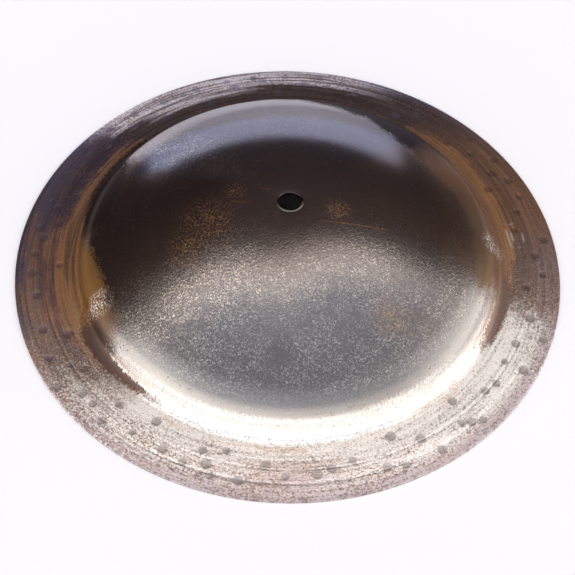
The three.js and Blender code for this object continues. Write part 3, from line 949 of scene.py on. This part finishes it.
def bell_finish(tree, at, shape, finish, pattern, amount):
    """The casting's skin over the bell, worn bright on its high grains, which also paint glints, and in
    places rubbed or dull.
    """
    colour, rough = zone(tree, at, finish, HOLE_EDGE_FINISH)
    for table, reach, blend in BELL_ZONES:
        share = add(tree, "MapRange", {"Value": at.radius, "From": reach}, interpolation_type=blend)
        colour, rough = zone(tree, at, finish, table, (colour, rough), share)
    # The bright grains are partly wear and partly painted glints
    worn = add(tree, "Math", {0: pattern.high, 1: amount.worn}, operation="MULTIPLY")
    outwards = add(tree, "MapRange", {"Value": at.radius, "From": WORN_AND_GLINTS_REACH, "To Min": 0.3})
    worn = add(tree, "Math", {0: worn, 1: outwards}, operation="MULTIPLY")
    uneven_wear = add(tree, "MapRange", {"Value": pattern.patches, "From": (0.4, 0.6), "To": (0.5, 1.3)})
    worn = add(tree, "Math", {0: worn, 1: uneven_wear}, operation="MULTIPLY", use_clamp=True)
    # Copper patches, partly rubbed metal and partly painted warm glints
    copper = soft_patches(tree, at, shape, COPPER_AND_GLINT_PATCH_SHARES)
    copper = add(tree, "Math", {0: copper, 1: pattern.high}, operation="MULTIPLY")
    dull = soft_patches(tree, at, shape, DULL_PATCH_SHARES)
    dull = add(tree, "Math", {0: dull, 1: DULL_STRENGTH}, operation="MULTIPLY")
    layers = [(worn, finish.worn_grain_and_glints), (copper, finish.copper_fleck_and_glint), (dull, finish.dark_skin)]
    rough = add(tree, "Mix", {SHARE: copper, UNDER_VALUE: rough, OVER_VALUE: COPPER_ROUGHNESS})
    return layered(tree, colour, layers), rough


def shoulder_finish(tree, at, shape, finish, pattern, amount, under):
    """The shoulder's zone, which begins at its own radius by turn, rubbed through in front. Its
    near-black colours at the back and sides are painted dark reflection.
    """
    speckled = {0: pattern.uneven, 1: SHOULDER_ZONE_FRAY, 2: at.radius}
    speckled = add(tree, "Math", speckled, operation="MULTIPLY_ADD")
    past = {0: amount.oxide_start, 1: -shape.rim_radius, 2: speckled}
    past = add(tree, "Math", past, operation="MULTIPLY_ADD")
    past = add(tree, "Math", {0: pattern.patches, 1: SHOULDER_ZONE_SWERVE, 2: past}, operation="MULTIPLY_ADD")
    share = {"Value": past, "From": SHOULDER_ZONE_BLEND}
    share = add(tree, "MapRange", share, interpolation_type="SMOOTHSTEP")
    colour, rough = zone(tree, at, finish, SHOULDER_FINISH, under, share)
    rubbed = add(tree, "MapRange", {"Value": pattern.frayed, "From": RUBBED_REACH})
    rubbed = add(tree, "Math", {0: rubbed, 1: amount.rubbed}, operation="MULTIPLY")
    return layered(tree, colour, [(rubbed, finish.bare_bronze)]), rough


def flange_zones(tree, at, shape, finish, pattern, flange_start, under):
    """The foot and the flange, zone by zone. The inner flange begins at its own radius by turn."""
    borders = {"flange_start": flange_start, "band_start": shape.band_radius - BAND_LEAD}
    for table, start, blend, fray in FLANGE_ZONES:
        place = add(tree, "Math", {0: pattern.uneven, 1: fray, 2: at.radius}, operation="MULTIPLY_ADD")
        past = add(tree, "Math", {0: place, 1: borders.get(start, start)}, operation="SUBTRACT")
        share = {"Value": past, "From": (-blend / 2, blend / 2)}
        share = add(tree, "MapRange", share, interpolation_type="SMOOTHSTEP")
        under = zone(tree, at, finish, table, under, share)
    return under


def golden_share(tree, pattern, amount, inner_part):
    """Golden tarnish on the inner flange, in patches that thin out towards the rim."""
    thinning = {"Value": pattern.frayed, "From": GOLD_THINNING, "To": (0.3, -0.22)}
    thinning = add(tree, "MapRange", thinning)
    golden = pattern.patches
    for part, weight in ((pattern.rings, 0.8), (pattern.pits, 0.4), (thinning, 1), (amount.golden, 0.6)):
        golden = add(tree, "Math", {0: part, 1: weight, 2: golden}, operation="MULTIPLY_ADD")
    golden = add(tree, "MapRange", {"Value": golden, "From": (1.46, 1.66), "To Max": GOLD_STRENGTH})
    return add(tree, "Math", {0: golden, 1: inner_part}, operation="MULTIPLY")


def streak_share(tree, pattern, amount, inner_part):
    """Dark turning streaks."""
    streak = add(tree, "MapRange", {"Value": pattern.rings, "From": (0.52, 0.38)})
    for part in (amount.streak, inner_part):
        streak = add(tree, "Math", {0: streak, 1: part}, operation="MULTIPLY")
    return streak


def sand_share(tree, pattern, amount, inner_part):
    """The brown between the high spots of the turned metal, in patches and thicker towards the rim. It is
    thinned by turn to paint sheen.
    """
    speckle = add(tree, "MapRange", {"Value": pattern.sand, "From": (0.47, 0.6), "To Max": 0.8})
    thick = add(tree, "MapRange", {"Value": pattern.frayed, "From": SAND_REACH, "To Min": 0.22})
    uneven_sand = {"Value": pattern.patches, "From": (0.38, 0.62), "To": (0.35, 1.5)}
    uneven_sand = add(tree, "MapRange", uneven_sand)
    for part in (thick, uneven_sand, inner_part, amount.sand):
        speckle = add(tree, "Math", {0: speckle, 1: part}, operation="MULTIPLY")
    return speckle


def speck_share(tree, at, shape, pattern, amount, inner_part):
    """Light specks where tarnish gives way to clean metal, and patches of them on the foot that paint
    sparkle.
    """
    there = add(tree, "Math", {0: amount.specks, 1: inner_part}, operation="MULTIPLY")
    white = soft_patches(tree, at, shape, WHITE_SPARKLE_PATCH_SHARES)
    there = add(tree, "Math", {0: there, 1: white}, operation="MAXIMUM")
    specks = add(tree, "MapRange", {"Value": pattern.sand, "From": (0.5, 0.38)})
    return add(tree, "Math", {0: specks, 1: there}, operation="MULTIPLY")


def pit_share(tree, at, pattern):
    """Dark pits, thicker towards the rim and in the rings."""
    sunk = add(tree, "MapRange", {"Value": at.radius, "From": PIT_REACH, "To": (0.66, 0.56)})
    ringed = add(tree, "MapRange", {"Value": pattern.rings, "From": (0.35, 0.65), "To": (-0.06, 0.05)})
    pit_from = add(tree, "Math", {0: sunk, 1: ringed}, operation="ADD")
    above = add(tree, "Math", {0: pattern.pits, 1: pit_from}, operation="SUBTRACT")
    return add(tree, "MapRange", {"Value": above, "From": (-0.04, 0.07), "To Max": PIT_STRENGTH})


def relief(tree, at, pattern):
    """The fine relief of the metal: turned rings over a grain that is fainter on the smooth back."""
    in_front = add(tree, "MapRange", {"Value": at.axes["Y"], "From": GRAIN_FADE, "To": (0.25, 1)})
    grain = {"Height": pattern.grain, "Distance": GRAIN_DEPTH, "Strength": in_front}
    grain = add(tree, "Bump", grain)
    on_flange = add(tree, "MapRange", {"Value": at.radius, "From": RING_REACH})
    rings = {"Height": pattern.rings, "Distance": RING_DEPTH, "Strength": on_flange, "Normal": grain}
    return add(tree, "Bump", rings)


def cast_bell_bronze(finish, shape):
    """Cast, hammered and turned bell bronze. The casting's skin stays on the bell as a thin oxide
    with a fine leathery grain, worn bright on its high grains, which also paint glints. The flange is
    turned through the skin: sandy and bright in front, tarnished gold and mauve at the sides, with
    pits, dull hammer marks and soft rings. Its colours by turn are partly painted reflection: they
    show the light and dark that the front view mirrors in each sector."""
    material = bpy.data.materials.new("cast_bell_bronze")
    material.use_nodes = True
    tree = material.node_tree
    tree.nodes.clear()
    at = metal_places(tree)
    pattern = metal_pattern(tree, at, shape)
    amount = amounts_by_turn(tree, at)
    flange_start = add(tree, "Math", {0: amount.flange_start, 1: shape.rim_radius}, operation="MULTIPLY")
    past_start = add(tree, "Math", {0: pattern.frayed, 1: flange_start}, operation="SUBTRACT")
    inner_part = add(tree, "MapRange", {"Value": past_start, "From": INNER_BLEND})

    bell = bell_finish(tree, at, shape, finish, pattern, amount)
    shoulder = shoulder_finish(tree, at, shape, finish, pattern, amount, bell)
    colour, rough = flange_zones(tree, at, shape, finish, pattern, flange_start, shoulder)
    pits = pit_share(tree, at, pattern)
    layers = [
        (golden_share(tree, pattern, amount, inner_part), finish.golden_bronze),
        (streak_share(tree, pattern, amount, inner_part), finish.pit_oxide),
        (sand_share(tree, pattern, amount, inner_part), finish.sand_shade),
        (speck_share(tree, at, shape, pattern, amount, inner_part), finish.bare_bronze),
        (pits, finish.pit_oxide),
    ]
    colour = layered(tree, colour, layers)

    struck = add(tree, "Attribute", attribute_name=MARK_ATTRIBUTE).outputs["Fac"]
    # Grey discs in the marks: partly dull metal, partly the dents' reflection painted in
    dulled = add(tree, "MapRange", {"Value": struck, "From": (0.02, 0.5), "To Max": amount.marked})
    colour, rough = zone(tree, at, finish, MARK_FINISH, (colour, rough), dulled)
    strokes = scratch_lines(tree, at, shape, STROKE_SHARES, STROKE_WIDTH)
    strokes = add(tree, "Math", {0: strokes, 1: pattern.sand}, operation="MULTIPLY")
    scratches = scratch_lines(tree, at, shape, SCRATCH_SHARES, SCRATCH_WIDTH)
    colour = layered(tree, colour, [(strokes, finish.bare_bronze), (scratches, finish.copper_fleck_and_glint)])
    rough = add(tree, "Mix", {SHARE: pits, UNDER_VALUE: rough, OVER_VALUE: PIT_ROUGHNESS})

    # Oxide swallows light at a shallow angle, where clean metal brightens
    shallow = add(tree, "MapRange", {"Value": colour, "From": (0.02, 0.17), "To": (0.4, 1)})
    look = {"Base Color": colour, "Metallic": 1.0, "Roughness": rough, "Specular Tint": shallow}
    shader = add(tree, "BsdfPrincipled", {**look, "Normal": relief(tree, at, pattern)})
    add(tree, "OutputMaterial", {"Surface": shader})
    return material


# The studio


def pale_floor_paint(studio):
    """Matt white floor paint, even and without shine."""
    material = bpy.data.materials.new("matt_white_floor_paint")
    material.use_nodes = True
    tree = material.node_tree
    tree.nodes.clear()
    look = {"Base Color": studio.floor_colour, "Roughness": FLOOR_ROUGHNESS}
    shader = add(tree, "BsdfPrincipled", look)
    add(tree, "OutputMaterial", {"Surface": shader})
    return material


def studio_world(studio):
    """A bright open front, an overhead softbox, a dark far side and a pale low sweep behind."""
    world = bpy.data.worlds.new("studio_light")
    world.use_nodes = True
    tree = world.node_tree
    tree.nodes.clear()
    direction = add(tree, "TexCoord").outputs["Generated"]
    axes = add(tree, "SeparateXYZ", {"Vector": direction}).outputs
    rise = add(tree, "Math", {0: axes["Z"]}, operation="ARCSINE")
    elevation = add(tree, "Math", {0: rise, 1: math.degrees(1)}, operation="MULTIPLY")
    swing = add(tree, "Math", {0: axes["X"], 1: axes["Y"]}, operation="ARCTAN2")
    azimuth = add(tree, "Math", {0: swing, 1: math.degrees(1)}, operation="MULTIPLY")

    # The dark part of the far side reaches less high towards the sides
    off_axis = add(tree, "Math", {0: azimuth, 1: FAR_SIDE_TURN}, operation="ADD")
    squared = add(tree, "Math", {0: off_axis, 1: off_axis}, operation="MULTIPLY")
    lifted = add(tree, "Math", {0: squared, 1: FAR_SIDE_LIFT, 2: elevation}, operation="MULTIPLY_ADD")
    lights = []
    for height, table in ((elevation, FRONT_LIGHT), (lifted, FAR_LIGHT)):
        up = add(tree, "MapRange", {"Value": height, "From": (LOWEST_LIGHT, HIGHEST_LIGHT)})
        lights.append(add(tree, "ValToRGB", {"Fac": up}, stops=sky_stops(table)))
    front, far = lights
    aside = add(tree, "Math", {0: off_axis}, operation="ABSOLUTE")
    open_side = {"Value": aside, "From": FAR_SIDE_BORDER}
    open_side = add(tree, "MapRange", open_side, interpolation_type="SMOOTHSTEP")

    # The pale sweep: low behind the cymbal
    sweep_off = add(tree, "Math", {0: azimuth, 1: SWEEP_TURN}, operation="ADD")
    sweep_away = add(tree, "Math", {0: sweep_off}, operation="ABSOLUTE")
    sweep_reach = {0: elevation, 1: SWEEP_LEAN, 2: sweep_away}
    sweep_reach = add(tree, "Math", sweep_reach, operation="MULTIPLY_ADD")
    sweep = 1
    for height, border in ((sweep_reach, SWEEP_SIDES), (elevation, SWEEP_TOP)):
        edge = add(tree, "MapRange", {"Value": height, "From": border}, interpolation_type="SMOOTHSTEP")
        sweep = add(tree, "Math", {0: sweep, 1: edge}, operation="MULTIPLY")
    light = layered(tree, far, [(open_side, front), (sweep, scaled(SWEEP_LIGHT))])
    background = add(tree, "Background", {"Color": light, "Strength": studio.light_level * BRIGHTEST})
    add(tree, "OutputWorld", {"Surface": background})
    return world


def match_camera(studio):
    """A camera at the photograph's viewing angle. Its lens is worked out for an image 575 pixels square.
    """
    focal_pixels, image_pixels, sensor_width = 1200, 575, 36
    data = bpy.data.cameras.new("photograph_view")
    data.sensor_width = sensor_width
    data.lens = sensor_width * focal_pixels / image_pixels
    camera = bpy.data.objects.new("photograph_view", data)
    bpy.context.scene.collection.objects.link(camera)
    elevation = studio.camera_elevation
    aim = Matrix.Rotation(math.radians(90) - elevation, 4, "X")
    turn = aim @ Matrix.Rotation(studio.camera_tilt, 4, "X") @ Matrix.Rotation(studio.camera_roll, 4, "Z")
    away = Vector((0, -math.cos(elevation), math.sin(elevation))) * studio.camera_distance
    target = Vector((0, 0, studio.camera_target_height))
    camera.matrix_world = Matrix.Translation(target + away) @ turn
    bpy.context.scene.camera = camera
    return camera


# Operators, panel and registration


class CYMBAL_OT_casting(bpy.types.Operator):
    """Model the bell cymbal's casting and give it its bronze"""

    bl_idname = "cymbal.casting"
    bl_label = "Bell cymbal casting"

    def execute(self, context):
        sizes, finish = context.scene.cymbal_sizes, context.scene.cymbal_finish
        shape = section_measures(sizes)
        piece = turn_casting(sizes, casting_section(sizes, shape))
        beat_waves(piece, sizes, shape)
        strike_marks(piece, sizes, shape)
        only_selected(piece)
        bpy.ops.object.shade_smooth_by_angle(angle=SMOOTH_ANGLE)
        piece.data.materials.append(cast_bell_bronze(finish, shape))
        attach(piece, "root")
        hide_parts(CAD_NODE)
        return {"FINISHED"}


class CYMBAL_OT_studio(bpy.types.Operator):
    """Lay the pale floor, light the studio and place the camera"""

    bl_idname = "cymbal.studio"
    bl_label = "Studio"

    def execute(self, context):
        studio = context.scene.cymbal_studio
        bpy.ops.object.select_all(action="DESELECT")
        bpy.ops.mesh.primitive_plane_add(size=2 * studio.floor_reach, location=(0, 0, 0))
        floor = context.active_object
        floor.name = "pale_floor"
        floor.data.materials.append(pale_floor_paint(studio))
        context.scene.world = studio_world(studio)
        context.scene.view_settings.view_transform = "Standard"
        match_camera(studio)
        return {"FINISHED"}


class CYMBAL_PT_panel(bpy.types.Panel):
    """The cymbal's operators and their sizes and colours"""

    bl_idname = "CYMBAL_PT_panel"
    bl_label = "Bell cymbal"
    bl_space_type = "VIEW_3D"
    bl_region_type = "UI"
    bl_category = "Cymbal"

    def draw(self, context):
        for operator in (CYMBAL_OT_casting, CYMBAL_OT_studio):
            self.layout.operator(operator.bl_idname)
        scene = context.scene
        for group in (scene.cymbal_sizes, scene.cymbal_finish, scene.cymbal_studio):
            column = self.layout.column()
            for name in group.__annotations__:
                column.prop(group, name)


CLASSES = (
    CymbalSizes, BronzeFinish, StudioSettings,
    CYMBAL_OT_casting, CYMBAL_OT_studio, CYMBAL_PT_panel,
)


def register():
    for entry in CLASSES:
        bpy.utils.register_class(entry)
    bpy.types.Scene.cymbal_sizes = PointerProperty(type=CymbalSizes)
    bpy.types.Scene.cymbal_finish = PointerProperty(type=BronzeFinish)
    bpy.types.Scene.cymbal_studio = PointerProperty(type=StudioSettings)


def unregister():
    del bpy.types.Scene.cymbal_studio
    del bpy.types.Scene.cymbal_finish
    del bpy.types.Scene.cymbal_sizes
    for entry in reversed(CLASSES):
        bpy.utils.unregister_class(entry)


def main():
    register()
    bpy.ops.cymbal.casting()
    bpy.ops.cymbal.studio()


if __name__ == "__main__":
    main()
